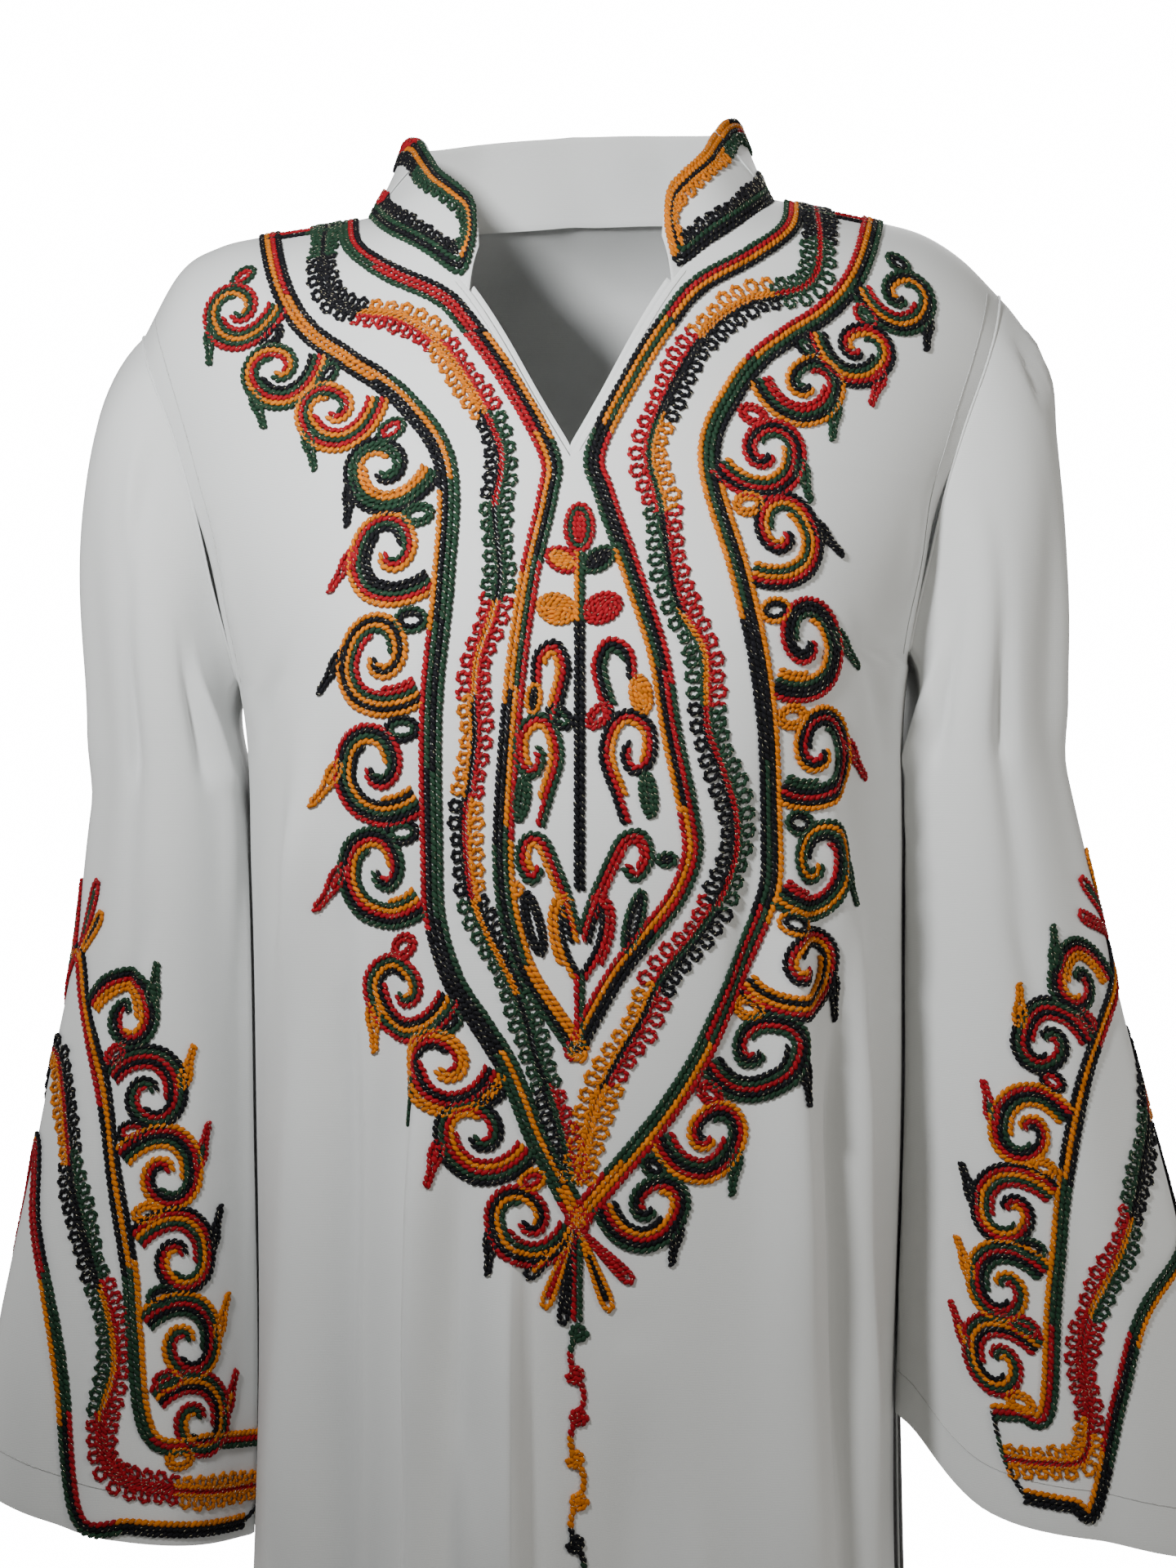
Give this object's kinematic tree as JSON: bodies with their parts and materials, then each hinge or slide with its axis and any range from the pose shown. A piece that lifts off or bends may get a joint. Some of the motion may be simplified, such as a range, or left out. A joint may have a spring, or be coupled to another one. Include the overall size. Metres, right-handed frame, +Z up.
{
  "type": "abaya",
  "caption": "Long white crepe abaya with a stand collar, open neck slit, bell sleeves and couched-cord scroll embroidery on chest, collar and cuffs.",
  "frame": {"origin": "middle of the neck base, level with where the collar meets the shoulder seams, where the garment is held on the shoulders", "axes": "+X to the wearer's left, -Y out of the chest, +Z up towards the head"},
  "size_m": [0.644, 0.4154, 1.4517],
  "materials": {
    "crepe": "matte white crepe",
    "cord": "chain-stitched yarn in green, black, red and orange with a gold thread"
  },
  "bodies": {
    "root": {"front": "crepe", "back": "crepe", "sleeve_right": "crepe", "sleeve_left": "crepe", "collar": "crepe", "neck_facing": "crepe", "cord_chest": "cord", "cord_plant": "cord", "cord_collar": "cord", "cord_sleeve_right": "cord", "cord_sleeve_left": "cord"}
  },
  "joints": []
}
